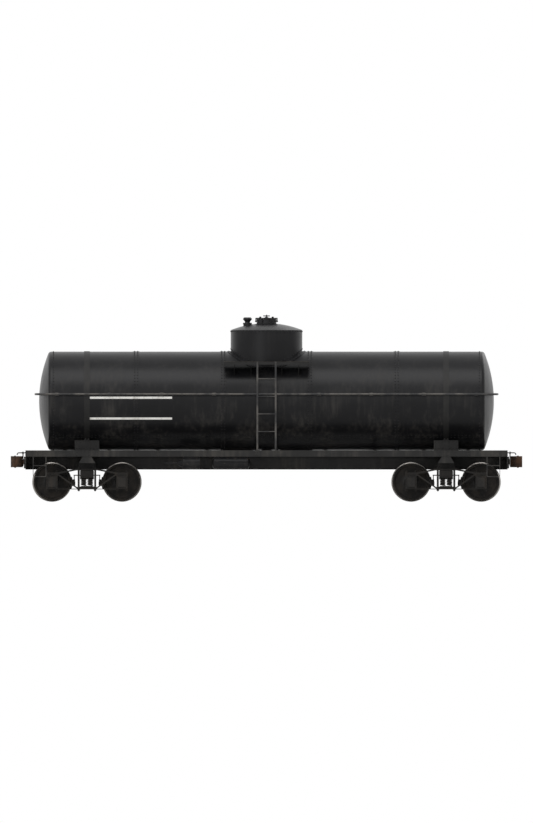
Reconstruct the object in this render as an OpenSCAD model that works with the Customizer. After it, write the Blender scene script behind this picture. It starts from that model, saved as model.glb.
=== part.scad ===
// Railway tank car: a riveted tank with an expansion dome on a steel underframe,
// carried by two four-wheel arch-bar trucks.
// X runs along the car, Y across it and Z up. The origin is on the floor at mid-length.

/* [Wheels and axles] */
// Radius of the wheel tread
tread_r = 419; // [400:1:430]
// Height of the wheel flange above the tread
flange_h = 25; // [22:1:30]
// Width of the wheel rim
rim_w = 140; // [130:1:145]
// Distance between the backs of the two wheels on an axle
wheel_backs = 1356; // [1350:1:1362]
// Distance between the two axles of a truck
wheelbase = 1575; // [1500:5:1800]
// Distance between the centres of the two journals on an axle
journal_centres = 1930; // [1915:1:1960]
// Diameter of the journal
journal_d = 127; // [108:1:140]
// Diameter of the wheel seat on the axle
seat_d = 165; // [155:1:175]

/* [Trucks] */
// Thickness of the two arch bars
arch_bar_t = 38; // [30:1:42]
// Width of the arch bars
arch_bar_w = 110; // [95:1:120]
// Thickness of the tie bar under the journal boxes
tie_bar_t = 16; // [12:1:22]
// Length of a journal box along the car
box_w = 250; // [230:1:270]
// Height of a journal box above its axle
box_up = 140; // [120:1:150]
// Depth of a journal box below its axle
box_down = 150; // [130:1:160]
// Width of the truck bolster along the car
truck_bolster_w = 312; // [280:2:330]
// Depth of the truck bolster over the springs
truck_bolster_h = 155; // [130:1:170]
// Outer diameter of a truck spring
spring_d = 138; // [120:1:140]

/* [Underframe] */
// Length over the end sills
frame_len = 10846; // [9600:2:13000]
// Distance from an end sill's face to the truck centre
truck_inset = 1384; // [1380:2:1700]
// Height of the deck above the axles
deck_above_axle = 712; // [700:1:780]
// Depth of the side rails
rail_h = 140; // [125:1:160]
// Thickness of the deck planks
plank_t = 44; // [38:1:50]
// Width of a running board
board_w = 462; // [430:2:470]
// Depth of the centre sill's channels
sill_h = 291; // [260:1:310]
// Distance between the webs of the two channels
sill_gap = 328; // [320:2:360]
// Flange width of a centre sill channel
sill_flange = 75; // [65:1:85]
// Longest distance between two cross bearers
bearer_pitch = 1150; // [900:10:1500]
// Distance from a side rail's face to the ladder
walk_margin = 135; // [120:1:200]

/* [Tank] */
// Outer diameter of the tank
tank_d = 2222; // [2000:2:2500]
// Distance from an end sill's face to the crown of the tank head
head_setback = 308; // [300:2:500]
// Dish radius of the tank heads
dish_r = 2850; // [2600:10:3200]
// Knuckle radius of the tank heads
knuckle_r = 80; // [60:1:120]
// Width of a tank band
band_w = 127; // [100:1:150]
// Thickness of a tank band
band_t = 10; // [8:1:14]
// Length of a tank saddle along the car
saddle_len = 553; // [500:1:600]
// Height of a saddle's top above the deck
saddle_rise = 225; // [180:1:260]

/* [Dome] */
// Outer diameter of the dome
dome_d = 1612; // [1450:2:1700]
// Height of the dome's side above the crown of the tank
dome_h = 484; // [400:1:600]
// Rise of the dome head
dome_rise = 155; // [120:1:200]
// Plate thickness of the dome
dome_t = 12; // [8:1:16]
// Outer diameter of the manway ring
manway_d = 447; // [420:1:480]
// Inner diameter of the manway ring
manway_bore = 380; // [360:1:390]
// Height of the manway ring above the crown of the dome
manway_h = 99; // [80:1:130]
// Diameter of the manway cover
cover_d = 492; // [480:1:520]
// Distance from the dome's centre to the safety valve
valve_x = 428; // [380:1:480]

/* [Ladders and rails] */
// Width over a ladder's stiles
ladder_w = 452; // [400:2:500]
// Distance between rungs
rung_pitch = 396; // [350:1:420]
// Length of a dome platform
platform_len = 1926; // [1700:2:2100]
// Thickness of a dome platform
platform_t = 67; // [55:1:80]
// Height of a platform's top below the crown of the tank
platform_drop = 228; // [200:1:260]
// Clearance from the tank to the handrail's centre
rail_stand_off = 84; // [70:1:110]
// Diameter of the handrail pipe
handrail_d = 48; // [34:1:52]
// Height of the handrail above the tank's axis
handrail_rise = 153; // [50:1:250]
// Length of a sill step
step_w = 300; // [260:2:340]
// Depth of a sill step below the side rail
step_drop = 458; // [400:2:480]

/* [Hidden] */
$fn = 240;

// Fits
run_gap = 0.3;       // a shaft in its bearing, or a plate on its seat
clear = 5;           // between pieces that move past each other

// Heights above the floor
axle_z = tread_r + flange_h;
deck_z = axle_z + deck_above_axle;
rail_z = deck_z - rail_h;
sill_bottom = rail_z - sill_h;
cover_plate_t = 8;
sill_cover_z = rail_z + cover_plate_t;
tank_r = tank_d / 2;
tank_z = deck_z + tank_r;
tank_top = tank_z + tank_r;
dome_r = dome_d / 2;
dome_side_z = tank_top + dome_h;
dome_dish_r = (dome_r * dome_r + dome_rise * dome_rise) / (2 * dome_rise);
dome_dish_z = dome_side_z + dome_rise - dome_dish_r;
dome_crown_z = dome_side_z + dome_rise;
manway_z = dome_crown_z + manway_h;
coupler_z = rail_z - 115;

// Places along the car
frame_x = frame_len / 2;
truck_x = frame_x - truck_inset;
head_x = frame_x - head_setback;
dish_x = head_x - dish_r;
knuckle_c = tank_r - knuckle_r;
barrel_x = dish_x + sqrt(pow(dish_r - knuckle_r, 2) - pow(knuckle_c, 2));
end_web = 12;
end_lap = 14;        // the end sill stands this far past the side rails
end_plank_w = 200;
outlet_r = 110;
bearer_w = 76;
first_bearer = 226;
bearer_inner = truck_x - saddle_len / 2 - 220;   // the last bearer before a saddle
bearer_outer = truck_x + saddle_len / 2 + 220;
end_bearer = frame_x - end_web - 2 * end_plank_w + 60;
ENDS = [1, -1];
SIDES = [1, -1];

// Places across the car
handrail_y = tank_r + rail_stand_off;
ladder_y = handrail_y + handrail_d / 2 + 6;
stile_w = 40;
stile_t = 12;
frame_y = ladder_y + stile_t + walk_margin;
rail_web = 10;
rail_flange = 70;
flange_t = 12;
board_out = frame_y - rail_web;
board_in = board_out - board_w;
sill_web = 8;
sill_half = sill_gap / 2;
sill_out = sill_half + sill_flange;

// ---------------------------------------------------------------- helpers

// A box from its two corners
module block(lo, hi) {
  translate(lo) cube(hi - lo);
}

// A flat outline in the X-Z plane, drawn out along Y from y0 to y1
module along_y(y0, y1) {
  translate([0, y1, 0]) rotate([90, 0, 0]) linear_extrude(y1 - y0) children();
}

// A flat outline in the Y-Z plane, drawn out along X from x0 to x1
module along_x(x0, x1) {
  translate([x0, 0, 0]) rotate([90, 0, 90]) linear_extrude(x1 - x0) children();
}

// A round bar between two points on a line along X or Y
module bar_x(x0, x1, y, z, r) {
  translate([x0, y, z]) rotate([0, 90, 0]) cylinder(r = r, h = x1 - x0);
}
module bar_y(y0, y1, x, z, r) {
  translate([x, y1, z]) rotate([90, 0, 0]) cylinder(r = r, h = y1 - y0);
}

// One copy at each end or on each side of the car
module both_ends() {
  for (s = ENDS) mirror([s < 0 ? 1 : 0, 0, 0]) children();
}
module both_sides() {
  for (s = SIDES) mirror([0, s < 0 ? 1 : 0, 0]) children();
}
module four_corners() {
  for (s = ENDS) mirror([s < 0 ? 1 : 0, 0, 0]) both_sides() children();
}

// The outside of the tank, longer than the car, for cutting what sits on it
module tank_cut() {
  bar_x(-frame_x, frame_x, 0, tank_z, tank_r);
}

// ---------------------------------------------------------------- tank

well_r = 230;          // the well in the tank under the dome
well_floor = 60;       // plate left under the opening

module tank_shell() {
  color([0.03, 0.03, 0.035])
    difference() {
      bar_x(-barrel_x, barrel_x, 0, tank_z, tank_r);
      translate([0, 0, deck_z + well_floor]) cylinder(r = well_r, h = tank_d);
    }
}

// Half of a dished head: the dish and the knuckle share the line through both centres
module head_outline() {
  reach = 2 * knuckle_r;
  dir = [knuckle_c, barrel_x - dish_x] / (dish_r - knuckle_r);
  far = [knuckle_c, barrel_x] + reach * dir;
  top = head_x + reach;
  intersection() {
    translate([0, dish_x]) circle(r = dish_r);
    polygon([[0, barrel_x], [knuckle_c, barrel_x], far, [far[0], top], [0, top]]);
  }
  intersection() {
    translate([knuckle_c, barrel_x]) circle(r = knuckle_r);
    polygon([[knuckle_c, barrel_x], [tank_r + reach, barrel_x], [tank_r + reach, far[1]], far]);
  }
}

module tank_head(end) {
  color([0.03, 0.03, 0.035])
    translate([0, 0, tank_z]) rotate([0, 90 * end, 0]) rotate_extrude() head_outline();
}

// ---------------------------------------------------------------- dome

skirt_h = 60;          // the head's flange, riveted over the top of the shell
module dome_shell() {
  height = dome_side_z - skirt_h - tank_z;
  color([0.03, 0.03, 0.035])
    difference() {
      translate([0, 0, tank_z]) cylinder(r = dome_r, h = height);
      translate([0, 0, tank_z - 1]) cylinder(r = dome_r - dome_t, h = height + 2);
      tank_cut();
    }
}

// The dished head is a turned outline
nozzle_r = 103;
nozzle_z = dome_dish_z + sqrt(pow(dome_dish_r, 2) - pow(valve_x - nozzle_r, 2)) + 2;
module dome_head() {
  bore_r = manway_bore / 2;
  color([0.03, 0.03, 0.035])
    rotate_extrude() {
      difference() {
        intersection() {
          translate([0, dome_dish_z]) circle(r = dome_dish_r);
          translate([bore_r, dome_side_z]) square([dome_r - bore_r, 2 * dome_rise]);
        }
        translate([0, dome_dish_z]) circle(r = dome_dish_r - dome_t);
      }
      translate([dome_r - dome_t, dome_side_z - skirt_h]) square([dome_t, skirt_h]);
    }
}

hinge_y = cover_d / 2 + 34;      // manway hinge pin, behind the cover
hinge_z = manway_z + 11;
hinge_r = 16;
pin_r = 8;
tongue_x = 40;                   // half-width of the cover's hinge tongue
ear_t = 20;

module manway_ring() {
  ring_r = manway_d / 2;
  ear_step = cover_d / 2 + 16;
  color([0.05, 0.05, 0.055]) {
    rotate_extrude() difference() {
      translate([manway_bore / 2, dome_side_z]) square([ring_r - manway_bore / 2, manway_z - dome_side_z]);
      translate([0, dome_dish_z]) circle(r = dome_dish_r);
    }
    for (s = [0, 1]) mirror([s, 0, 0]) {
      along_x(tongue_x + 1, tongue_x + 1 + ear_t)
        polygon([
          [ring_r - 20, manway_z - 60], [ring_r + 12, manway_z - 60],
          [hinge_y + hinge_r, hinge_z], [ear_step, hinge_z], [ear_step, manway_z - 12],
          [ring_r - 20, manway_z - 12]
        ]);
      bar_x(tongue_x + 1, tongue_x + 1 + ear_t, hinge_y, hinge_z, hinge_r);
    }
    bar_x(-tongue_x - ear_t - 6, tongue_x + ear_t + 6, hinge_y, hinge_z, pin_r);
  }
}

module manway_cover() {
  cover_t = 22;
  cover_z = manway_z + run_gap;
  lid_top = cover_z + cover_t;
  lug_x = 140;
  color([0.05, 0.05, 0.055])
    difference() {
      union() {
        translate([0, 0, cover_z]) cylinder(r = cover_d / 2, h = cover_t);
        translate([0, 0, lid_top]) cylinder(r1 = 46, r2 = 26, h = 22);
        translate([0, 0, lid_top]) cylinder(r = 13, h = 68);
        bar_x(-75, 75, 0, lid_top + 42, 11);
        bar_y(-75, 75, 0, lid_top + 42, 11);
        for (a = [0:90:270]) rotate(a) translate([lug_x, 0, lid_top]) cylinder(r1 = 30, r2 = 20, h = 27);
        block([-tongue_x, cover_d / 2 - 12, hinge_z - 10], [tongue_x, hinge_y, hinge_z + 10]);
        bar_x(-tongue_x, tongue_x, hinge_y, hinge_z, hinge_r);
      }
      bar_x(-tongue_x - 1, tongue_x + 1, hinge_y, hinge_z, pin_r + run_gap);
    }
}

module safety_valve() {
  cap_z = manway_z + 32;
  color([0.05, 0.05, 0.055])
    translate([-valve_x, 0, 0]) {
      rotate_extrude()
        polygon([
          [0, nozzle_z], [nozzle_r, nozzle_z], [nozzle_r, nozzle_z + 16], [60, nozzle_z + 26],
          [56, dome_crown_z + 26], [86, cap_z - 62], [101, cap_z - 46], [101, cap_z - 34],
          [84, cap_z - 6], [70, cap_z], [0, cap_z]
        ]);
      // the flange under it, fitted to the dished head
      difference() {
        translate([0, 0, dome_side_z + 40]) cylinder(r = nozzle_r - 8, h = nozzle_z - dome_side_z - 39);
        translate([valve_x, 0, dome_dish_z]) sphere(r = dome_dish_r);
      }
    }
}

// ---------------------------------------------------------------- platforms, ladders, handrail

platform_top = tank_top - platform_drop;
// half the tank's width level with the platform's underside
tank_under = sqrt(pow(tank_r, 2) - pow(tank_r - platform_drop - platform_t, 2));
platform_in = max(dome_r, tank_under) + 24;
rung_r = 11;

module dome_platforms() {
  x = platform_len / 2;
  frame_t = 8;
  gusset_drop = 230;
  plank_z = platform_top - plank_t;
  bottom = platform_top - platform_t;
  color([0.04, 0.04, 0.045])
    both_sides() {
      block([-x, platform_in, plank_z], [x, ladder_y, platform_top]);
      for (y = [platform_in, ladder_y - frame_t])
        block([-x, y, bottom], [x, y + frame_t, plank_z]);
      for (s = ENDS) translate([s * (x - frame_t / 2), 0, 0])
        block([-frame_t / 2, platform_in, bottom], [frame_t / 2, ladder_y, plank_z]);
      // gussets riveted to the tank
      difference() {
        for (share = [-0.75, -0.36, 0.36, 0.75]) translate([share * x, 0, 0])
          along_x(-5, 5) polygon([
            [platform_in - 200, bottom], [ladder_y - 20, bottom],
            [tank_r - 120, bottom - gusset_drop], [platform_in - 200, bottom - gusset_drop]
          ]);
        bar_x(-2 * x, 2 * x, 0, tank_z, tank_r);
        translate([0, 0, tank_z]) cylinder(r = dome_r, h = tank_r);
      }
    }
}

module ladders() {
  stile_x = ladder_w / 2 - stile_w;
  rungs = floor((platform_top - platform_t - deck_z - 60) / rung_pitch);
  foot_t = 12;
  color([0.05, 0.05, 0.055])
    both_sides() {
      for (s = [0, 1]) mirror([s, 0, 0]) {
        block([stile_x, ladder_y, deck_z], [stile_x + stile_w, ladder_y + stile_t, platform_top]);
        block([stile_x, ladder_y, deck_z], [stile_x + stile_w, ladder_y + 80, deck_z + foot_t]);
      }
      for (i = [1:rungs])
        bar_x(-stile_x, stile_x, ladder_y + stile_t / 2, deck_z + i * rung_pitch + 26, rung_r);
    }
}

handrail_z = tank_z + handrail_rise;
handrail_end = head_x + 81;       // centre of the pipe across the end
handrail_bend = 420;

handrail_x = handrail_end - handrail_bend;

module handrail() {
  color([0.05, 0.05, 0.055])
    both_sides() bar_x(-handrail_x, handrail_x, handrail_y, handrail_z, handrail_d / 2);
}

// The pipe across each end, with its two bends
module end_handrails() {
  bend_y = handrail_y - handrail_bend;
  color([0.05, 0.05, 0.055])
    both_ends() {
      bar_y(-bend_y, bend_y, handrail_end, handrail_z, handrail_d / 2);
      for (s = SIDES)
        translate([handrail_x, s * bend_y, handrail_z]) rotate(s > 0 ? 0 : -90)
          rotate_extrude(angle = 90) translate([handrail_bend, 0]) circle(d = handrail_d);
    }
}

bracket_pitch = 1500;
module handrail_brackets() {
  span = min(barrel_x, handrail_x + 60) - 120;
  count = ceil(span / bracket_pitch);
  foot = sqrt(tank_r * tank_r - handrail_rise * handrail_rise);
  pipe = handrail_d / 2;
  color([0.05, 0.05, 0.055])
    four_corners()
      for (i = [1:count]) translate([i * span / count, 0, 0]) {
        difference() {
          union() {
            bar_y(foot - 20, handrail_y, 0, handrail_z, 13);
            block([-45, foot - 30, handrail_z - 36], [45, foot + 11, handrail_z + 36]);
          }
          bar_x(-50, 50, 0, tank_z, tank_r);
          bar_x(-50, 50, handrail_y, handrail_z, pipe + 4);
        }
        difference() {
          bar_x(-28, 28, handrail_y, handrail_z, pipe + 8);
          bar_x(-29, 29, handrail_y, handrail_z, pipe);
        }
      }
}

// ---------------------------------------------------------------- bands, saddles, anchor, outlet

saddle_top = deck_z + saddle_rise;
saddle_y = board_in - 130;

module tank_bands() {
  lug_x = band_w / 2;
  band_foot = sqrt(pow(tank_r, 2) - pow(tank_z - saddle_top, 2));
  color([0.04, 0.04, 0.045])
    both_ends() translate([truck_x, 0, 0]) {
      difference() {
        bar_x(-lug_x, lug_x, 0, tank_z, tank_r + band_t);
        bar_x(-lug_x - 1, lug_x + 1, 0, tank_z, tank_r);
        block([-lug_x - 1, -tank_r * 2, 0], [lug_x + 1, tank_r * 2, saddle_top]);
      }
      both_sides() {
        difference() {
          block([-lug_x, band_foot, saddle_top], [lug_x, saddle_y + band_t, saddle_top + 14]);
          bar_x(-lug_x - 1, lug_x + 1, 0, tank_z, tank_r + band_t / 2);
        }
        block([-lug_x, saddle_y, sill_cover_z], [lug_x, saddle_y + band_t, saddle_top + 14]);
      }
    }
}

module tank_saddles() {
  x = saddle_len / 2;
  web_t = 24;
  color([0.03, 0.03, 0.035])
    both_ends() translate([truck_x, 0, 0])
      difference() {
        block([-x, -saddle_y, sill_cover_z], [x, saddle_y, saddle_top]);
        bar_x(-x - 1, x + 1, 0, tank_z, tank_r);
        // pockets between the ribs, open to the ends of the car
        for (s = [0, 1]) mirror([s, 0, 0]) both_sides() {
          block([web_t, saddle_y - 190, sill_cover_z + web_t], [x + 1, saddle_y - web_t, saddle_top - 60]);
          block([web_t, 240, sill_cover_z + web_t], [x + 1, saddle_y - 214, deck_z + 10]);
          block([web_t, web_t / 2, sill_cover_z + web_t], [x + 1, 216, deck_z - 40]);
        }
      }
}

anchor_x = first_bearer + bearer_w;
anchor_len = 680;
anchor_y = 96;
module tank_anchor() {
  t = 12;
  ribs = 4;
  color([0.03, 0.03, 0.035])
    difference() {
      four_corners() translate([anchor_x, 0, 0]) {
        block([0, anchor_y, sill_cover_z], [anchor_len, anchor_y + t, deck_z + 60]);
        block([0, anchor_y, sill_cover_z], [anchor_len, anchor_y + 94, sill_cover_z + t]);
        for (i = [0:ribs - 1])
          translate([(i + 0.5) * anchor_len / ribs, 0, 0])
            block([-t / 2, anchor_y, sill_cover_z], [t / 2, anchor_y + 84, deck_z + 30]);
      }
      tank_cut();
    }
}

outlet_bore = 50.8;
outlet_z = sill_bottom + 12;
module bottom_outlet() {
  flange_z = sill_cover_z + 50;
  color([0.05, 0.05, 0.055]) {
    difference() {
      rotate_extrude() polygon([
        [0, outlet_z], [76, outlet_z], [76, outlet_z + 70], [90, outlet_z + 76], [90, outlet_z + 100],
        [68, outlet_z + 112], [68, flange_z - 10], [outlet_r, flange_z], [0, flange_z]
      ]);
      translate([0, 0, outlet_z - 1]) cylinder(r = outlet_bore, h = 121);
    }
    difference() {
      translate([0, 0, flange_z]) cylinder(r = outlet_r, h = deck_z + 30 - flange_z);
      bar_x(-tank_r, tank_r, 0, tank_z, tank_r);
    }
  }
}

// ---------------------------------------------------------------- underframe

module center_sill() {
  x = frame_x - flange_t;
  color([0.03, 0.03, 0.035])
    difference() {
      union() {
        both_sides() {
          block([-x, sill_half, sill_bottom], [x, sill_half + sill_web, rail_z]);
          for (z = [sill_bottom, rail_z - flange_t])
            block([-x, sill_half, z], [x, sill_out, z + flange_t]);
        }
        block([-x, -sill_out, rail_z], [x, sill_out, sill_cover_z]);
      }
      translate([0, 0, rail_z - 1]) cylinder(r = outlet_r + 12, h = 2 * cover_plate_t + 2);
    }
}

bolster_step = deck_z - 286;       // bottom of the body bolster's outer end
bolster_bottom = sill_bottom - 14;
bolster_in = 840;                  // the deep part ends here, inside the truck frames
bolster_top_w = 195;
bolster_step_w = 372;
bolster_foot_w = 396;
center_plate_r = 146;
truck_top = sill_bottom - 25;      // top of the truck bolster
bowl_h = 25;
pipe_y = 330;
pipe_z = rail_z - 156;
pipe_r = 21;

module body_bolsters() {
  top = bolster_top_w / 2;
  mid = bolster_step_w / 2;
  foot = bolster_foot_w / 2;
  web_in = 34;
  color([0.03, 0.03, 0.035])
    both_ends() translate([truck_x, 0, 0])
      difference() {
        union() {
          both_sides() {
            along_y(sill_half + sill_web, board_out)
              polygon([[-mid, bolster_step], [mid, bolster_step], [top, rail_z], [-top, rail_z]]);
            along_y(sill_half + sill_web, bolster_in)
              polygon([
                [-foot, bolster_bottom], [foot, bolster_bottom], [mid, bolster_step],
                [-mid, bolster_step]
              ]);
          }
          block([-foot, -bolster_in, bolster_bottom], [foot, bolster_in, sill_bottom]);
          block(
            [-saddle_len / 2, -frame_y + rail_flange, rail_z],
            [saddle_len / 2, frame_y - rail_flange, sill_cover_z]
          );
          translate([0, 0, truck_top - bowl_h + run_gap])
            cylinder(r = center_plate_r, h = bolster_bottom - truck_top + bowl_h);
        }
        block([-frame_x, -sill_out, sill_bottom], [frame_x, sill_out, rail_z]);
        block([-frame_x, -sill_out, rail_z - 1], [frame_x, sill_out, sill_cover_z + 1]);
        bar_x(-frame_x, frame_x, pipe_y, pipe_z, pipe_r + run_gap);
      }
  // the webs of the bolster butt against the sill between its flanges
  color([0.03, 0.03, 0.035])
    both_ends() translate([truck_x, 0, 0]) both_sides()
      for (s = SIDES)
        block(
          [s * mid - (s > 0 ? web_in : 0), sill_half + sill_web, sill_bottom + flange_t],
          [s * mid + (s > 0 ? 0 : web_in), sill_out, bolster_step]
        );
}

coupler_slot_y = 100;
coupler_slot_z = 90;
module end_sills() {
  depth = 80;
  color([0.03, 0.03, 0.035])
    both_ends() difference() {
      union() {
        block([frame_x - end_web, -frame_y - end_lap, sill_bottom], [frame_x, frame_y + end_lap, deck_z]);
        both_sides() {
          block([frame_x - depth, sill_out, sill_bottom], [frame_x, board_out, sill_bottom + flange_t]);
          block([frame_x - depth, sill_out, rail_z], [frame_x, board_out - rail_flange, rail_z + flange_t]);
        }
        block([frame_x - depth, -board_in, deck_z - plank_t - flange_t], [frame_x, board_in, deck_z - plank_t]);
      }
      block(
        [frame_x - end_web - 1, -coupler_slot_y, coupler_z - coupler_slot_z],
        [frame_x + 1, coupler_slot_y, coupler_z + coupler_slot_z]
      );
      bar_x(0, 2 * frame_x, pipe_y, pipe_z, pipe_r + run_gap);
    }
}

module side_rails() {
  x = frame_x - end_web;
  color([0.03, 0.03, 0.035])
    both_sides() {
      block([-x, board_out, rail_z], [x, frame_y, deck_z]);
      block([-x, frame_y - rail_flange, rail_z], [x, frame_y, rail_z + flange_t]);
      block([-x, frame_y - rail_flange, deck_z - plank_t - flange_t], [x, frame_y, deck_z - plank_t]);
    }
}

module cross_bearer() {
  top = deck_z - plank_t;
  half = bearer_w / 2;
  t = 9;
  // a channel laid on its side: web, two flanges and coped ends
  block([-half, -frame_y + rail_flange, sill_cover_z], [-half + t, frame_y - rail_flange, top]);
  for (z = [sill_cover_z, top - t])
    block([-half, -frame_y + rail_flange, z], [half, frame_y - rail_flange, z + t]);
  both_sides()
    block([-half, frame_y - rail_flange, rail_z + flange_t], [-half + t, board_out, top - flange_t]);
}

module cross_bearers() {
  gaps = floor((bearer_inner - first_bearer) / bearer_pitch) + 1;
  color([0.03, 0.03, 0.035])
    both_ends() {
      for (i = [0:gaps])
        translate([first_bearer + i * (bearer_inner - first_bearer) / gaps, 0, 0]) cross_bearer();
      for (x = [bearer_outer, end_bearer]) translate([x, 0, 0]) cross_bearer();
    }
}

module running_boards() {
  x = frame_x - end_web;
  planks = 3;
  joint = 6;
  w = (board_w - (planks - 1) * joint) / planks;
  color([0.06, 0.055, 0.05])
    both_sides()
      for (i = [0:planks - 1])
        translate([0, board_in + i * (w + joint), 0])
          block([-x, 0, deck_z - plank_t], [x, w, deck_z]);
}

module end_boards() {
  planks = 2;
  joint = 6;
  x1 = frame_x - end_web;
  w = end_plank_w;
  color([0.06, 0.055, 0.05])
    both_ends()
      for (i = [1:planks])
        translate([x1 - i * (w + joint) + joint, 0, 0])
          block([0, -board_in + joint, deck_z - plank_t], [w, board_in - joint, deck_z]);
}

step_x = frame_x - 318;
module sill_steps() {
  half = step_w / 2;
  bar = 12;
  w = 50;
  y0 = frame_y - rail_flange + 8;
  bottom = rail_z - step_drop;
  bend = 40;
  tread_z = rail_z - 209;
  color([0.05, 0.05, 0.055])
    four_corners() translate([step_x, 0, 0]) {
      along_y(y0, y0 + w) difference() {
        union() {
          translate([-half, bottom + bend]) square([step_w, step_drop - bend]);
          translate([-half + bend, bottom]) square([step_w - 2 * bend, bend + 1]);
          for (s = SIDES) translate([s * (half - bend), bottom + bend]) circle(r = bend);
        }
        translate([-half + bar, bottom + bend]) square([step_w - 2 * bar, step_drop]);
        translate([-half + bend, bottom + bar]) square([step_w - 2 * bend, bend]);
        for (s = SIDES) translate([s * (half - bend), bottom + bend]) circle(r = bend - bar);
      }
      block([-half, y0, tread_z], [half, y0 + w, tread_z + bar]);
    }
}

// ---------------------------------------------------------------- couplers and draft gear

shank_h = 130;
shank_w = 130;
shank_in = 380;      // from the end sill's face back to the draft gear
gear_len = 430;
stop_w = 50;
module draft_gear() {
  inner = sill_half;
  color([0.05, 0.05, 0.055])
    both_ends() {
      // striker round the coupler, on the end sill
      difference() {
        block([frame_x, -190, coupler_z - 150], [frame_x + 34, 190, coupler_z + 115]);
        block([frame_x - 1, -coupler_slot_y, coupler_z - shank_h / 2], [frame_x + 35, coupler_slot_y, coupler_z + 85]);
      }
      // stops inside the sill, and the gear's follower block between them
      for (x = [frame_x - shank_in, frame_x - shank_in - gear_len - stop_w])
        both_sides() block([x, shank_w / 2 + 20, sill_bottom + 40], [x + stop_w, inner, rail_z - 20]);
      block(
        [frame_x - shank_in - gear_len, -inner + 12, coupler_z - 110],
        [frame_x - shank_in, inner - 12, coupler_z + 90]
      );
    }
}

face_x = 330;        // coupling face beyond the end sill
module coupler() {
  x0 = frame_x;
  head_h = 250;
  knuckle_h = 220;
  pin = [x0 + 232, 92];
  color([0.06, 0.05, 0.045]) {
    block([x0 - shank_in, -shank_w / 2, coupler_z - shank_h / 2], [x0 + 70, shank_w / 2, coupler_z + shank_h / 2]);
    // head with its guard arm
    translate([0, 0, coupler_z - head_h / 2]) linear_extrude(head_h) polygon([
      [x0 + 56, -70], [x0 + 100, -120], [x0 + 170, -168], [x0 + face_x - 12, -190],
      [x0 + face_x, -176], [x0 + face_x - 10, -150], [x0 + 220, -118], [x0 + 176, -60],
      [x0 + 166, 30], [x0 + 188, 84], [x0 + 230, 128], [x0 + 214, 150], [x0 + 130, 146],
      [x0 + 80, 104], [x0 + 56, 70]
    ]);
    // lugs over and under the knuckle, with the knuckle pin
    for (z = [coupler_z - head_h / 2, coupler_z + knuckle_h / 2 + 3])
      translate([0, 0, z]) linear_extrude((head_h - knuckle_h) / 2 - 3) hull() {
        translate(pin) circle(r = 44, $fn = 32);
        translate([x0 + 150, 70]) circle(r = 60, $fn = 32);
      }
    translate([pin[0], pin[1], coupler_z - head_h / 2 - 14]) cylinder(r = 19, h = head_h + 26);
  }
  color([0.07, 0.06, 0.05])
    translate([0, 0, coupler_z - knuckle_h / 2]) linear_extrude(knuckle_h) difference() {
      polygon([
        [x0 + 196, 60], [x0 + 226, 40], [x0 + 262, 34], [x0 + 282, 6], [x0 + 290, -34],
        [x0 + 316, -40], [x0 + face_x, -20], [x0 + face_x - 2, 40], [x0 + 312, 92],
        [x0 + 276, 128], [x0 + 236, 134], [x0 + 238, 124], [x0 + 196, 80]
      ]);
      translate(pin) circle(r = 19.5);
    }
}

// ---------------------------------------------------------------- air brake

air_y = -470;
air_z = (sill_bottom + rail_z) / 2;
cylinder_r = 127;
reservoir_r = 140;
module air_bracket(x) {
  block([x, air_y, air_z - 70], [x + 60, -sill_half - sill_web, air_z + 70]);
}

module brake_cylinder() {
  x0 = -1880;
  x1 = x0 + 380;
  color([0.05, 0.05, 0.055]) {
    bar_x(x0, x1, air_y, air_z, cylinder_r);
    bar_x(x0, x0 + 26, air_y, air_z, cylinder_r + 14);
    bar_x(x1 - 26, x1, air_y, air_z, cylinder_r + 14);
    translate([x0, air_y, air_z]) rotate([0, -90, 0]) cylinder(r1 = 100, r2 = 50, h = 120);
    bar_x(x0 - 420, x0 - 110, air_y, air_z, 24);
    air_bracket(x0 + 80);
    air_bracket(x0 + 250);
  }
}

module air_reservoir() {
  x0 = -1180;
  x1 = x0 + 760;
  color([0.05, 0.05, 0.055]) {
    bar_x(x0, x1, air_y, air_z, reservoir_r);
    for (x = [x0, x1]) translate([x, air_y, air_z]) scale(1) intersection() {
      rotate([0, x > x0 ? 90 : -90, 0]) translate([0, 0, -reservoir_r]) sphere(r = reservoir_r * sqrt(2));
      bar_x(-100, 100, 0, 0, reservoir_r);
    }
    air_bracket(x0 + 140);
    air_bracket(x1 - 200);
  }
}

module brake_pipe() {
  out = 60;
  color([0.05, 0.05, 0.055]) {
    bar_x(-frame_x - out, frame_x + out, pipe_y, pipe_z, pipe_r);
    both_ends() {
      // angle cock
      bar_x(frame_x + out - 4, frame_x + out + 70, pipe_y, pipe_z, pipe_r + 12);
      translate([frame_x + out + 48, pipe_y, pipe_z - 70]) cylinder(r = pipe_r + 4, h = 80);
      translate([frame_x + out + 24, pipe_y, pipe_z]) cylinder(r = 13, h = 52);
    }
  }
}

// ---------------------------------------------------------------- trucks, about their own centre

axle_x = wheelbase / 2;
journal_y = journal_centres / 2;
bar_y0 = journal_y - arch_bar_w / 2;
bar_y1 = journal_y + arch_bar_w / 2;
box_top = axle_z + box_up;
box_bottom = axle_z - box_down;
truck_end = axle_x + box_w / 2 + 8;
column_in = truck_bolster_w / 2 + 7;
column_t = 46;
column_out = column_in + column_t;
plank_z = box_bottom + arch_bar_t;
plank_plate = 12;
bolster_under = truck_top - truck_bolster_h;

// A bar bent to a line of points along its lower edge
module bent_bar(path, t) {
  n = len(path);
  polygon(concat(path, [for (i = [n - 1:-1:0]) path[i] + [0, t]]));
}

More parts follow.
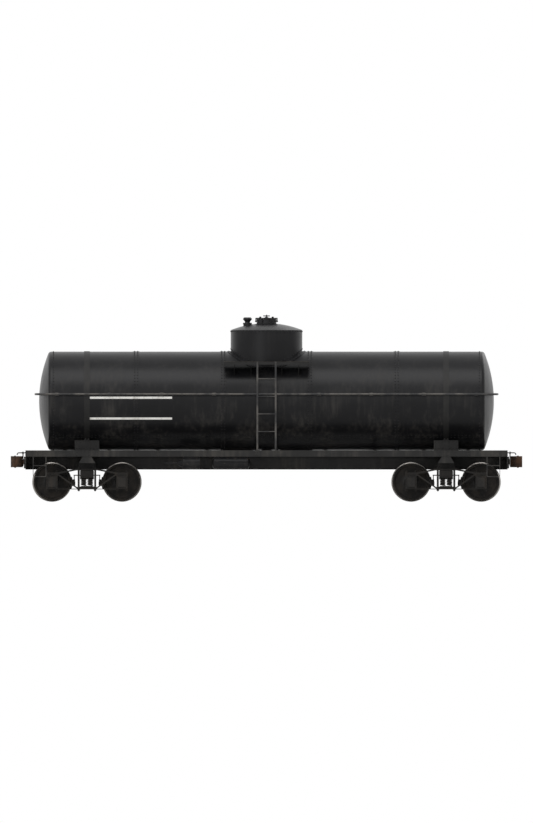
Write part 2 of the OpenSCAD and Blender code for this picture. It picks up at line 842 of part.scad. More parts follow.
module arch_frame() {
  box_in = axle_x - box_w / 2;
  top_flat = column_out + 30;
  color([0.04, 0.04, 0.045]) along_y(bar_y0, bar_y1) {
    bent_bar([
      [-truck_end, box_top + arch_bar_t], [-box_in + 6, box_top + arch_bar_t], [-top_flat, truck_top + clear],
      [top_flat, truck_top + clear], [box_in - 6, box_top + arch_bar_t], [truck_end, box_top + arch_bar_t]
    ], arch_bar_t);
    bent_bar([
      [-truck_end, box_top], [-box_in + 24, box_top], [-column_out - 16, box_bottom],
      [column_out + 16, box_bottom], [box_in - 24, box_top], [truck_end, box_top]
    ], arch_bar_t);
    translate([-truck_end, box_bottom - tie_bar_t]) square([2 * truck_end, tie_bar_t]);
    for (s = [0, 1]) mirror([s, 0])
      translate([column_in, plank_z]) square([column_t, truck_top + clear - plank_z]);
  }
}

box_y0 = (journal_centres - 226) / 2;
box_y1 = box_y0 + 253;
collar_r = journal_d / 2 + 10;
journal_y1 = box_y1 - 45;          // outer end of the journal, where its collar starts
module journal_boxes() {
  color([0.05, 0.05, 0.055])
    four_corners() translate([axle_x, 0, 0]) difference() {
      union() {
        block([-box_w / 2, box_y0, box_bottom], [box_w / 2, box_y1 - 30, box_top]);
        // the box narrows to its lid
        block([-box_w / 2 + 34, box_y0 + 20, box_bottom + 30], [box_w / 2 - 34, box_y1 - 10, box_top - 24]);
        along_x(-box_w / 2 + 40, box_w / 2 - 40) polygon([
          [box_y1 - 10, box_bottom + 40], [box_y1 - 10, box_top - 34], [box_y1 + 2, box_top - 34],
          [box_y1 + 8, box_bottom + 40]
        ]);
        bar_x(-46, 46, box_y1 - 4, box_top - 30, 13);
      }
      bar_y(box_y0 - 1, journal_y1 - 8, 0, axle_z, journal_d / 2 + run_gap);
      bar_y(journal_y1 - 8, box_y1 - 22, 0, axle_z, collar_r + clear);
    }
}

side_bearing_y = 635;
module truck_bolster() {
  half = truck_bolster_w / 2;
  end_y = bar_y1 + 30;
  belly = 40;
  belly_y = journal_y - spring_d - 20;
  color([0.04, 0.04, 0.045]) difference() {
    union() {
      along_x(-half, half) polygon([
        [-end_y, bolster_under], [-belly_y, bolster_under], [-480, bolster_under - belly],
        [480, bolster_under - belly], [belly_y, bolster_under], [end_y, bolster_under],
        [end_y, truck_top], [-end_y, truck_top]
      ]);
      for (s = SIDES) translate([0, s * side_bearing_y, 0])
        block([-90, -45, truck_top], [90, 45, bolster_bottom - clear]);
    }
    translate([0, 0, truck_top - bowl_h]) cylinder(r = center_plate_r + 6, h = bowl_h + 1);
    // pockets in both faces leave the cast bolster's flanges and ribs
    for (s = [0, 1]) mirror([s, 0, 0]) both_sides()
      for (p = [[180, 400], [430, 650]])
        block([half - 46, p[0], bolster_under + 26], [half + 1, p[1], truck_top - 30]);
  }
}

module truck_springs() {
  inset = spring_d / 2 + 5;
  base = plank_z + plank_plate;
  cap = 12;
  color([0.06, 0.06, 0.065])
    both_sides() {
      for (sx = SIDES) for (sy = SIDES)
        translate([sx * inset, journal_y + sy * inset, base]) cylinder(r = spring_d / 2, h = bolster_under - base);
      for (z = [base, bolster_under - cap])
        block([-2 * inset + 10, journal_y - 2 * inset + 10, z], [2 * inset - 10, journal_y + 2 * inset - 10, z + cap]);
    }
}

module truck_plank() {
  half = column_in - 3;
  lip = 60;
  color([0.04, 0.04, 0.045]) {
    block([-half, -bar_y1 - 30, plank_z], [half, bar_y1 + 30, plank_z + plank_plate]);
    for (s = SIDES)
      translate([s * (half - plank_plate / 2), 0, 0])
        block([-plank_plate / 2, -bar_y0 + 60, plank_z - lip], [plank_plate / 2, bar_y0 - 60, plank_z]);
  }
}

module truck_brakes() {
  shoe_y = (wheel_backs + rim_w) / 2 + 14;
  shoe_in = tread_r + 6;
  shoe_out = shoe_in + 42;
  beam_x = axle_x - shoe_out - 34;
  color([0.06, 0.055, 0.05])
    for (e = [0, 1]) mirror([e, 0, 0]) {
      both_sides() {
        // shoe against the tread
        along_y(shoe_y - 42, shoe_y + 42) translate([axle_x, axle_z]) polygon(concat(
          [for (a = [-20:5:15]) shoe_in * [-cos(a), sin(a)]],
          [for (a = [15:-5:-20]) shoe_out * [-cos(a), sin(a)]]
        ));
        // head, and the hanger that carries it from the bolster
        block([beam_x - 20, shoe_y - 30, axle_z - 90], [axle_x - shoe_out + 10, shoe_y + 30, axle_z + 60]);
        block([beam_x - 10, shoe_y - 12, axle_z + 60], [beam_x + 10, shoe_y + 12, bolster_under + 40]);
        block([truck_bolster_w / 2, shoe_y - 20, bolster_under + 40], [beam_x + 14, shoe_y + 20, bolster_under + 62]);
      }
      block([beam_x - 26, -shoe_y, axle_z - 70], [beam_x - 16, shoe_y, axle_z + 10]);
      for (z = [axle_z - 70, axle_z])
        block([beam_x - 26, -shoe_y, z], [beam_x + 24, shoe_y, z + 10]);
    }
}

module at_truck(end) {
  translate([end * truck_x, 0, 0]) children();
}

// ---------------------------------------------------------------- wheelsets, about their own axle

module axle() {
  seat_in = wheel_backs / 2 - 22;
  seat_out = wheel_backs / 2 + rim_w + 12;
  body_r = 68;
  half = [
    [body_r, 0], [body_r + 6, seat_in - 60], [seat_d / 2, seat_in - 20], [seat_d / 2, seat_out],
    [journal_d / 2 + 8, seat_out + 4], [journal_d / 2, box_y0], [journal_d / 2, journal_y1],
    [collar_r, journal_y1 + 2], [collar_r, journal_y1 + 14], [0, journal_y1 + 14]
  ];
  n = len(half);
  color([0.12, 0.11, 0.1]) rotate([90, 0, 0]) rotate_extrude()
    polygon(concat(half, [for (i = [n - 1:-1:1]) [half[i][0], -half[i][1]]]));
}

module wheel() {
  seat_r = seat_d / 2;
  hub_r = 142;
  rim_r = tread_r - 48;
  top = tread_r + flange_h;
  rotate_extrude() polygon([
    [seat_r, -20], [hub_r - 6, -20], [hub_r, -12], [hub_r + 8, 52], [hub_r + 60, 62],
    [rim_r - 60, 50], [rim_r - 8, 34], [rim_r, 4], [rim_r + 4, 0], [tread_r + 10, 0],
    [top - 5, 5], [top, 14], [top - 4, 24], [tread_r + 8, 33], [tread_r, 42],
    [tread_r - 4, rim_w - 8], [tread_r - 12, rim_w], [rim_r + 4, rim_w], [rim_r, rim_w - 4],
    [rim_r - 8, 84], [rim_r - 60, 82], [hub_r + 60, 100], [hub_r + 8, 112], [hub_r, rim_w + 4],
    [hub_r - 6, rim_w + 10], [seat_r, rim_w + 10]
  ]);
}

module wheel_pair() {
  color([0.03, 0.03, 0.03]) both_sides()
    translate([0, wheel_backs / 2, 0]) rotate([-90, 0, 0]) wheel();
}

// Places of the four axles, from the rear of the car
AXLES = [-truck_x - axle_x, -truck_x + axle_x, truck_x - axle_x, truck_x + axle_x];
module at_axle(i) {
  translate([AXLES[i - 1], 0, axle_z]) children();
}

// ---------------------------------------------------------------- nodes

tank_shell();
tank_head(1);  // front_tank_head
tank_head(-1);  // rear_tank_head
dome_shell();
dome_head();
manway_ring();
manway_cover();
safety_valve();
dome_platforms();
ladders();
handrail();
end_handrails();
handrail_brackets();
tank_bands();
tank_saddles();
tank_anchor();
bottom_outlet();
center_sill();
body_bolsters();
end_sills();
side_rails();
cross_bearers();
running_boards();
end_boards();
sill_steps();
draft_gear();
coupler();  // front_coupler
rotate(180) coupler();  // rear_coupler
brake_cylinder();
air_reservoir();
brake_pipe();
at_truck(1) truck_bolster();  // front_truck_bolster
at_truck(-1) truck_bolster();  // rear_truck_bolster
at_truck(1) arch_frame();  // front_truck_left_frame
at_truck(1) mirror([0, 1, 0]) arch_frame();  // front_truck_right_frame
at_truck(-1) arch_frame();  // rear_truck_left_frame
at_truck(-1) mirror([0, 1, 0]) arch_frame();  // rear_truck_right_frame
at_truck(1) journal_boxes();  // front_truck_boxes
at_truck(-1) journal_boxes();  // rear_truck_boxes
at_truck(1) truck_springs();  // front_truck_springs
at_truck(-1) truck_springs();  // rear_truck_springs
at_truck(1) truck_plank();  // front_truck_plank
at_truck(-1) truck_plank();  // rear_truck_plank
at_truck(1) truck_brakes();  // front_truck_brakes
at_truck(-1) truck_brakes();  // rear_truck_brakes
at_axle(1) axle();  // axle_1
at_axle(2) axle();  // axle_2
at_axle(3) axle();  // axle_3
at_axle(4) axle();  // axle_4
at_axle(1) wheel_pair();  // wheels_1
at_axle(2) wheel_pair();  // wheels_2
at_axle(3) wheel_pair();  // wheels_3
at_axle(4) wheel_pair();  // wheels_4
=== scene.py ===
import bpy
import math
from mathutils import Matrix, Vector


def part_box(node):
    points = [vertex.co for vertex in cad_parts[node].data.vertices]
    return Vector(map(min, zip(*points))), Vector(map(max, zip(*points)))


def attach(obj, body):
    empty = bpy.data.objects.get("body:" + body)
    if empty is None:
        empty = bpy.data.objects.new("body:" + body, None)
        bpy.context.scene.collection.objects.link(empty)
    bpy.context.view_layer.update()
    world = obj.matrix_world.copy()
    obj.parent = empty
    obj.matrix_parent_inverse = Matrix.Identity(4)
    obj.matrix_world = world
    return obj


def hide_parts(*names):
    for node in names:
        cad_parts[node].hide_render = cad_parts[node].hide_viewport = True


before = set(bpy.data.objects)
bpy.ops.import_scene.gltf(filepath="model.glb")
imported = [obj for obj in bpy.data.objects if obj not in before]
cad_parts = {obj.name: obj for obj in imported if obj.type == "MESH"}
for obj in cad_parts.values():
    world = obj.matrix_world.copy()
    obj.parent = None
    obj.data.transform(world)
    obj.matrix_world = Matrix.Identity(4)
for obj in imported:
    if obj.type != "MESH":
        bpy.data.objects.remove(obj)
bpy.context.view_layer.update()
bpy.ops.object.select_all(action="DESELECT")

# ------------------------------------------------------------------ stage
# The car stands alone on a plain pale floor, seen square from its side, as a draughtsman shows it.
# Three broad suns, overhead, in front and behind, bring out the round of the black tank.

VIEW_WIDTH = 11.99
ASPECT = 823 / 533
CAMERA_BACK, CAMERA_HEIGHT = 40, 2.03

bpy.ops.object.camera_add(location=(0, -CAMERA_BACK, CAMERA_HEIGHT), rotation=(math.pi / 2, 0, 0))
camera = bpy.context.object
camera.data.type = "ORTHO"
camera.data.ortho_scale = VIEW_WIDTH * ASPECT
camera.data.clip_end = 10 * CAMERA_BACK
bpy.context.scene.camera = camera

scene = bpy.context.scene
scene.view_settings.view_transform = "Standard"


class Wire:
    """A socket whose sums and products add their own Math nodes."""

    def __init__(self, tree, socket):
        self.tree = tree
        self.socket = socket

    def math(self, operation, first, second=0):
        step = self.tree.nodes.new("ShaderNodeMath")
        step.operation = operation
        for slot, value in zip(step.inputs, (first, second)):
            join(self.tree, slot, value)
        return Wire(self.tree, step.outputs[0])

    def __add__(self, other):
        return self.math("ADD", self, other)

    def __sub__(self, other):
        return self.math("SUBTRACT", self, other)

    def __rsub__(self, other):
        return self.math("SUBTRACT", other, self)

    def __mul__(self, other):
        return self.math("MULTIPLY", self, other)

    def __truediv__(self, other):
        return self.math("DIVIDE", self, other)

    def __abs__(self):
        return self.math("ABSOLUTE", self)

    __radd__ = __add__
    __rmul__ = __mul__


def join(tree, socket, value):
    if isinstance(value, Wire):
        tree.links.new(value.socket, socket)
    else:
        socket.default_value = value


class Finish:
    """A material with one Principled shader, laid out on Object coordinates."""

    SHINE = 0.18

    def __init__(self, name, slot=None):
        self.slot = slot or name
        self.material = bpy.data.materials.new(name)
        self.material.use_nodes = True
        self.tree = self.material.node_tree
        self.shader = self.tree.nodes["Principled BSDF"]
        self.shader.inputs["Specular IOR Level"].default_value = self.SHINE
        self.place = self.node("TexCoord", out="Object")
        self.x, self.y, self.z = (
            self.node("SeparateXYZ", {}, {"Vector": self.place}, out=axis) for axis in "XYZ"
        )

    def node(self, kind, settings={}, inputs={}, out=0):
        made = self.tree.nodes.new("ShaderNode" + kind)
        for name, value in settings.items():
            setattr(made, name, value)
        for name, value in inputs.items():
            join(self.tree, made.inputs[name], value)
        return Wire(self.tree, made.outputs[out])

    def noise(self, scale, detail=4, stretch=(1, 1, 1), rough=0.55):
        spread = self.node("Mapping", {}, {"Vector": self.place, "Scale": stretch})
        return self.node("TexNoise", {}, {
            "Vector": spread, "Scale": scale, "Detail": detail, "Roughness": rough})

    def ease(self, value, low, high):
        """0 at low, 1 at high and smooth between, where low may be the greater of the two."""
        return self.node("MapRange", {"interpolation_type": "SMOOTHSTEP"}, {
            "Value": value, "From Min": low, "From Max": high})

    def blend(self, share, first, second):
        colours = [c if isinstance(c, Wire) else (*c, 1) for c in (first, second)]
        # a Mix node's colours are its sockets 6 and 7, and the mixed one its output 2
        return self.node("Mix", {"data_type": "RGBA"}, {
            0: share, 6: colours[0], 7: colours[1]}, out=2)

    def bump(self, height, distance, strength=1):
        normal = self.node("Bump", {}, {"Height": height, "Distance": distance, "Strength": strength})
        join(self.tree, self.shader.inputs["Normal"], normal)

    def set(self, **sockets):
        for name, value in sockets.items():
            socket = self.shader.inputs[name.replace("_", " ")]
            join(self.tree, socket, value if isinstance(value, (Wire, float, int)) else (*value, 1))


FLOOR_SIZE = 160
FLOOR_GREY, FLOOR_PALE = (0.80, 0.80, 0.79), (0.96, 0.96, 0.95)
floor_paint = Finish("studio_floor")
# the camera sees the floor as pale as the sky, and the car's underside is lit by a greyer one
seen = floor_paint.node("LightPath", out="Is Camera Ray")
floor_paint.set(Base_Color=floor_paint.blend(seen, FLOOR_GREY, FLOOR_PALE), Roughness=0.9)
bpy.ops.mesh.primitive_plane_add(size=FLOOR_SIZE)
floor = bpy.context.object
floor.name = "studio_floor"
floor.data.materials.append(floor_paint.material)

AMBIENT = 0.55
world = bpy.data.worlds.new("studio")
world.use_nodes = True
scene.world = world
sky = world.node_tree
light_path = sky.nodes.new("ShaderNodeLightPath")
rays = 0
for kind in ("Is Camera Ray", "Is Glossy Ray", "Is Transmission Ray"):
    ray = Wire(sky, light_path.outputs[kind])
    rays = ray.math("MAXIMUM", ray, rays)
backdrop = sky.nodes["Background"]
backdrop.inputs["Color"].default_value = (1, 1, 1, 1)
join(sky, backdrop.inputs["Strength"], rays * (1 - AMBIENT) + AMBIENT)

LAMPS = [
    # name, where it stands from the car, strength, spread in degrees
    ("overhead", (-2, -5, 9), 1.3, 40),
    ("front", (-5, -12, 4), 0.55, 30),
    ("behind", (6, 9, 7), 0.6, 40),
]
for name, place, strength, spread in LAMPS:
    bpy.ops.object.light_add(type="SUN", location=place)
    lamp = bpy.context.object
    lamp.name = name
    lamp.data.energy = strength
    lamp.data.angle = math.radians(spread)
    lamp.rotation_euler = Vector(place).to_track_quat("Z", "Y").to_euler()

# ------------------------------------------------------------------ tank plates
# Rolled steel plates riveted together and brushed with black paint. The paint has gone a little dull,
# rain has washed dust down the sides, and two white stripes frame the bare place for the car's number.

TANK_LOW, TANK_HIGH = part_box("tank_shell")


def painted(name, colour, dust, sheen, low, high, slot=None):
    """Old paint: brush marks, a dusty bloom that thickens from high down to low, and rain streaks."""
    finish = Finish(name, slot)
    cloudy = finish.noise(1.3, 6)
    fine = finish.noise(38, 3)
    streaks = finish.noise(2.2, 5, stretch=(5.5, 5.5, 0.35))
    lower = finish.ease(finish.z, high, low)
    bloom = finish.ease(cloudy * 0.55 + streaks * 0.45, 0.46, 0.72)
    dusty = bloom * (lower * 0.34 + 0.06)
    tone = finish.blend(finish.ease(cloudy, 0.3, 0.7), colour, [c * 1.5 for c in colour])
    finish.colour = finish.blend(dusty, tone, dust)
    finish.rough = sheen + dusty * 0.5 + (fine - 0.5) * 0.14 + (cloudy - 0.5) * 0.12
    finish.grain = fine
    finish.streaks = streaks
    finish.set(Base_Color=finish.colour, Roughness=finish.rough)
    return finish


BLACK = (0.0055, 0.0055, 0.0062)
ROAD_DUST = (0.085, 0.078, 0.068)
PLATE_ROUGH = 0.33


def plate_paint(name, slot=None):
    """The tank's paint, on plates that never lie quite flat between their rivets."""
    finish = painted(name, BLACK, ROAD_DUST, PLATE_ROUGH, TANK_LOW.z - 0.1, TANK_HIGH.z + 0.2, slot)
    finish.bump(finish.grain * 0.06 + finish.noise(2.6, 3), 0.004, 0.6)
    return finish


tank_paint = plate_paint("tank_paint")

STRIPE_FROM, STRIPE_TO = -4.07, -2.125
STRIPE_HEIGHTS = (2.340, 1.872)
STRIPE_WIDTH, STRIPE_EDGE = 0.046, 0.003
WHITE, WHITE_DUSTY = (0.80, 0.79, 0.76), (0.56, 0.54, 0.50)
stripe_paint = plate_paint("tank_paint_striped", slot="tank_paint")
# the far side is the near side turned half way round
side = stripe_paint.ease(stripe_paint.y, -0.2, 0.2) * 2 - 1
along = stripe_paint.x * side * -1
stripes = 0
for height in STRIPE_HEIGHTS:
    off = abs(stripe_paint.z - height)
    stripes = stripes + stripe_paint.ease(off, STRIPE_WIDTH / 2 + STRIPE_EDGE, STRIPE_WIDTH / 2)
inside = stripe_paint.ease(along, STRIPE_FROM - STRIPE_EDGE, STRIPE_FROM) * stripe_paint.ease(
    along, STRIPE_TO + STRIPE_EDGE, STRIPE_TO)
kept = stripe_paint.ease(stripe_paint.noise(26, 5), 0.24, 0.36)
lead_white = stripe_paint.blend(stripe_paint.ease(stripe_paint.streaks, 0.4, 0.8), WHITE, WHITE_DUSTY)
stripe_paint.set(Base_Color=stripe_paint.blend(stripes * inside * kept, stripe_paint.colour, lead_white))


def dress(nodes, finish):
    for name in nodes:
        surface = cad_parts[name].data
        surface.materials.clear()
        surface.materials.append(finish.material)


dress(["front_tank_head", "rear_tank_head", "dome_shell", "dome_head"], tank_paint)
dress(["tank_shell"], stripe_paint)

# ------------------------------------------------------------------ seams and rivets of the tank
# The plates meet under straps with two rows of button-head rivets, and each head is riveted inside the
# last course. One low seam runs the length of the tank on both sides.

TANK_R = (TANK_HIGH.z - TANK_LOW.z) / 2
AXIS_Z = (TANK_HIGH.z + TANK_LOW.z) / 2
SHELL_END = TANK_HIGH.x
X, Y, Z = Vector((1, 0, 0)), Vector((0, 1, 0)), Vector((0, 0, 1))
TANK_AXIS = Vector((0, 0, AXIS_Z))


def only(*objects):
    bpy.ops.object.select_all(action="DESELECT")
    for o in objects:
        o.select_set(True)
    bpy.context.view_layer.objects.active = objects[0]


def settle(piece):
    """Its object goes back to the origin, and its place into its mesh."""
    only(piece)
    bpy.ops.object.transform_apply(location=True, rotation=True, scale=True)
    return piece


def turned(piece, axis, angle, centre=Vector((0, 0, 0))):
    spin = Matrix.Translation(centre) @ Matrix.Rotation(angle, 4, axis) @ Matrix.Translation(-centre)
    piece.matrix_world = spin @ piece.matrix_world
    return settle(piece)


def moved(piece, step):
    piece.location = Vector(piece.location) + Vector(step)
    return settle(piece)


def copy_of(piece):
    twin = piece.copy()
    twin.data = piece.data.copy()
    bpy.context.collection.objects.link(twin)
    return twin


def in_line(piece, count, step):
    """The piece, and count - 1 more of it, each a step further on."""
    only(piece)
    array = piece.modifiers.new("row", "ARRAY")
    array.count = count
    array.use_relative_offset = False
    array.use_constant_offset = True
    array.constant_offset_displace = step
    bpy.ops.object.modifier_apply(modifier="row")
    return piece


def in_ring(piece, count, axis, centre):
    """The piece repeated round an axis through centre."""
    piece.data.transform(Matrix.Translation(-centre))
    piece.location = centre
    bpy.ops.object.empty_add(location=centre)
    guide = bpy.context.object
    guide.rotation_euler = Matrix.Rotation(2 * math.pi / count, 3, axis).to_euler()
    only(piece)
    array = piece.modifiers.new("ring", "ARRAY")
    array.count = count
    array.use_relative_offset = False
    array.use_object_offset = True
    array.offset_object = guide
    bpy.context.view_layer.update()
    bpy.ops.object.modifier_apply(modifier="ring")
    bpy.data.objects.remove(guide)
    return settle(piece)


def facing_out(piece):
    only(piece)
    bpy.ops.object.mode_set(mode="EDIT")
    bpy.ops.mesh.select_all(action="SELECT")
    bpy.ops.mesh.normals_make_consistent(inside=False)
    bpy.ops.object.mode_set(mode="OBJECT")
    return piece


def mirrored(piece, axis):
    """The piece and its mirror image across the middle of the car."""
    twin = copy_of(piece)
    twin.scale = [-1 if i == axis else 1 for i in range(3)]
    return [piece, facing_out(settle(twin))]


def four_times(pieces):
    """Each piece at both ends of the car and on both of its sides."""
    both_ends = [part for piece in pieces for part in mirrored(piece, 0)]
    return [part for piece in both_ends for part in mirrored(piece, 1)]


def button(radius, height, segments=10, rings=6):
    """A rivet's head, standing up from the origin."""
    bpy.ops.mesh.primitive_uv_sphere_add(segments=segments, ring_count=rings, radius=radius)
    head = bpy.context.object
    bpy.ops.object.mode_set(mode="EDIT")
    bpy.ops.mesh.select_all(action="SELECT")
    bpy.ops.mesh.bisect(plane_co=(0, 0, 0), plane_no=(0, 0, 1), clear_inner=True, use_fill=True)
    bpy.ops.object.mode_set(mode="OBJECT")
    head.scale = (1, 1, height / radius)
    return settle(head)


def finished(name, pieces, body, finish, smooth=50):
    """The parts of one piece are joined, named, painted and put on their body."""
    only(*pieces)
    if len(pieces) > 1:
        bpy.ops.object.join()
    piece = bpy.context.view_layer.objects.active
    piece.name = piece.data.name = name
    settle(piece)
    bpy.ops.object.shade_smooth_by_angle(angle=math.radians(smooth))
    piece.data.materials.clear()
    piece.data.materials.append(finish.material)
    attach(piece, body)
    return piece


RIVET = (0.016, 0.010)
STRAP_W, STRAP_T = 0.15, 0.006
ROW_GAP, PITCH = 0.034, 0.076


def strap(x):
    bpy.ops.mesh.primitive_cylinder_add(vertices=160, radius=TANK_R + STRAP_T, depth=STRAP_W,
                                        end_fill_type="NOTHING", rotation=(0, math.pi / 2, 0),
                                        location=(x, 0, AXIS_Z))
    hoop = bpy.context.object
    wall = hoop.modifiers.new("wall", "SOLIDIFY")
    wall.thickness = STRAP_T
    wall.offset = -1
    bpy.ops.object.modifier_apply(modifier="wall")
    return settle(hoop)


def tank_ring(x, lift):
    head = moved(button(*RIVET), (x, 0, TANK_R + lift + AXIS_Z))
    return in_ring(head, round(2 * math.pi * TANK_R / PITCH), X, TANK_AXIS)


COURSES = [-2.93, -0.975, 0.975, 2.93]
HEAD_ROW = SHELL_END - 0.045
straps = [strap(x) for x in COURSES]
rings = [tank_ring(x + side * ROW_GAP, STRAP_T) for x in COURSES for side in (-1, 1)]
rings += [tank_ring(end * HEAD_ROW, 0) for end in (-1, 1)]

SEAM_ANGLE, SEAM_ROW = math.radians(136), math.radians(1.9)
STRAP_CLEAR, BAND_CLEAR = 0.1, 0.05
TRUCK_LOW, TRUCK_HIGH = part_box("front_truck_bolster")
TRUCK_X = (TRUCK_LOW.x + TRUCK_HIGH.x) / 2
BAND_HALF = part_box("tank_bands")[1].x - TRUCK_X
inner, outer = COURSES[2:]
stretches = [
    (BAND_CLEAR, inner - STRAP_CLEAR),
    (inner + STRAP_CLEAR, outer - STRAP_CLEAR),
    (outer + STRAP_CLEAR, TRUCK_X - BAND_HALF - BAND_CLEAR),
    (TRUCK_X + BAND_HALF + BAND_CLEAR, SHELL_END - STRAP_CLEAR),
]
seams = []
for start, stop in stretches:
    count = max(2, round((stop - start) / PITCH))
    for row in (-1, 1):
        head = moved(button(*RIVET), (start, 0, TANK_R + AXIS_Z))
        line = in_line(head, count, ((stop - start) / (count - 1), 0, 0))
        seams.append(turned(line, X, SEAM_ANGLE + row * SEAM_ROW, TANK_AXIS))
finished("tank_straps", straps, "car", stripe_paint)
finished("tank_rivets", rings + four_times(seams), "car", stripe_paint)

# ------------------------------------------------------------------ dome
# The expansion dome is a short drum flanged to the tank and closed by a dished head. Rivets run round
# its foot, which follows the round of the tank, and round the head's flange.

DOME_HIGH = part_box("dome_shell")[1]
DOME_R, DOME_SIDE = DOME_HIGH.x, DOME_HIGH.z
DOME_FLANGE, FLANGE_T = 0.085, 0.011
DOME_PITCH = 0.085
dome_count = round(2 * math.pi * DOME_R / DOME_PITCH)


def on_tank(mesh, lift):
    """Lays a flat mesh over the top of the tank."""
    for v in mesh.vertices:
        v.co.z = AXIS_Z + math.sqrt((TANK_R + lift) ** 2 - v.co.y ** 2) + v.co.z


bpy.ops.mesh.primitive_circle_add(vertices=144, radius=DOME_R)
flange = bpy.context.object
bpy.ops.object.mode_set(mode="EDIT")
bpy.ops.mesh.select_all(action="SELECT")
bpy.ops.mesh.extrude_region_move()
out = 1 + DOME_FLANGE / DOME_R
bpy.ops.transform.resize(value=(out, out, 1))
bpy.ops.object.mode_set(mode="OBJECT")
on_tank(flange.data, FLANGE_T)
facing_out(flange)
# its thickness goes down to the plate, whichever way the ring faces
wall = flange.modifiers.new("wall", "SOLIDIFY")
wall.thickness = FLANGE_T
wall.offset = -1 if flange.data.polygons[0].normal.z > 0 else 1
bpy.ops.object.modifier_apply(modifier="wall")

FOOT_REACH = DOME_R + DOME_FLANGE * 0.55
rivet_head = button(*RIVET)
foot_rivets = []
for i in range(dome_count):
    angle = 2 * math.pi * (i + 0.5) / dome_count
    lean = math.asin(FOOT_REACH * math.sin(angle) / TANK_R)
    spot = Vector((FOOT_REACH * math.cos(angle), 0, TANK_R + FLANGE_T))
    head = copy_of(rivet_head)
    head.matrix_world = (Matrix.Translation(TANK_AXIS) @ Matrix.Rotation(-lean, 4, X)
                         @ Matrix.Translation(spot))
    foot_rivets.append(head)
UPRIGHT_RISE = 0.05
upright = []
for i in range(dome_count):
    angle = 2 * math.pi * i / dome_count
    y = DOME_R * math.sin(angle)
    z = AXIS_Z + math.sqrt((TANK_R + FLANGE_T) ** 2 - y ** 2) + UPRIGHT_RISE
    head = copy_of(rivet_head)
    head.matrix_world = (Matrix.Translation((DOME_R * math.cos(angle), y, z))
                         @ Matrix.Rotation(angle, 4, Z) @ Matrix.Rotation(math.pi / 2, 4, Y))
    upright.append(head)
TOP_ROW_Z = DOME_SIDE + 0.03
top_row = moved(turned(button(*RIVET), Y, math.pi / 2), (DOME_R, 0, TOP_ROW_Z))
top_row = in_ring(top_row, dome_count, Z, Vector((0, 0, 0)))
bpy.ops.mesh.primitive_torus_add(major_radius=DOME_R - 0.004, minor_radius=0.006, major_segments=128,
                                 minor_segments=8, location=(0, 0, DOME_SIDE - 0.002))
caulk = settle(bpy.context.object)
bpy.data.objects.remove(rivet_head)
finished("dome_flange", [flange, caulk], "car", tank_paint)
finished("dome_rivets", foot_rivets + upright + [top_row], "car", tank_paint)

# ------------------------------------------------------------------ manway and safety valve
# Castings on the dome's head: the ring and its hinged cover, held down by eye bolts, and the spring valve
# that lets the vapour out. They carry the tank's black paint, worn to metal where hands take hold.


def handled(name, colour, wear, slot=None):
    """Black paint over iron, thin where it is gripped or stepped on."""
    finish = painted(name, colour, ROAD_DUST, 0.4, 0.3, 4.4, slot)
    worn = finish.ease(finish.noise(17, 6), 0.60, 0.72) * wear
    finish.set(Base_Color=finish.blend(worn, finish.colour, (0.115, 0.095, 0.08)),
               Roughness=finish.rough + worn * 0.1, Metallic=worn * 0.5)
    finish.bump(finish.grain * 0.35 + finish.noise(9, 4) - worn, 0.0015, 0.7)
    return finish


fitting_paint = handled("fitting_paint", (0.013, 0.013, 0.014), 0.8)
dress(["manway_ring", "manway_cover", "safety_valve", "bottom_outlet"], fitting_paint)

COVER_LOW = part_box("manway_cover")[0]
COVER_R, SEAT_Z = -COVER_LOW.x, COVER_LOW.z
RING_R = -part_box("manway_ring")[0].y
EYE_BOLTS, EYE_STEP = 6, math.radians(46)
EYE_DROP = 0.052
STEM_X = COVER_R + 0.013
eyes = []
for i in range(EYE_BOLTS):
    angle = (i - (EYE_BOLTS - 1) / 2) * EYE_STEP - math.pi / 2
    bpy.ops.mesh.primitive_cylinder_add(vertices=12, radius=0.009, depth=0.075,
                                        location=(STEM_X, 0, SEAT_Z - 0.012))
    stem = bpy.context.object
    bpy.ops.mesh.primitive_torus_add(major_radius=0.014, minor_radius=0.006,
                                     major_segments=16, minor_segments=8,
                                     location=(STEM_X, 0, SEAT_Z - EYE_DROP), rotation=(math.pi / 2, 0, 0))
    eye = bpy.context.object
    bpy.ops.mesh.primitive_cube_add(size=1, location=((COVER_R + RING_R) / 2 + 0.006, 0, SEAT_Z - EYE_DROP))
    lug = bpy.context.object
    lug.scale = (COVER_R - RING_R + 0.018, 0.03, 0.018)
    only(stem, eye, lug)
    bpy.ops.object.join()
    eyes.append(turned(settle(bpy.context.object), Z, angle))
finished("manway_eye_bolts", eyes, "car", fitting_paint)


def bolt(across, height):
    """A hexagon nut on its washer, standing up from the origin."""
    flats = across / math.sqrt(3)
    bpy.ops.mesh.primitive_cylinder_add(vertices=6, radius=flats, depth=height,
                                        location=(0, 0, height * 0.62))
    nut = bpy.context.object
    bpy.ops.mesh.primitive_cylinder_add(vertices=12, radius=flats * 1.3, depth=height * 0.16,
                                        location=(0, 0, height * 0.08))
    ring = bpy.context.object
    bpy.ops.mesh.primitive_cylinder_add(vertices=8, radius=flats * 0.55, depth=height * 0.4,
                                        location=(0, 0, height * 1.2))
    end = bpy.context.object
    only(nut, ring, end)
    bpy.ops.object.join()
    return settle(nut)


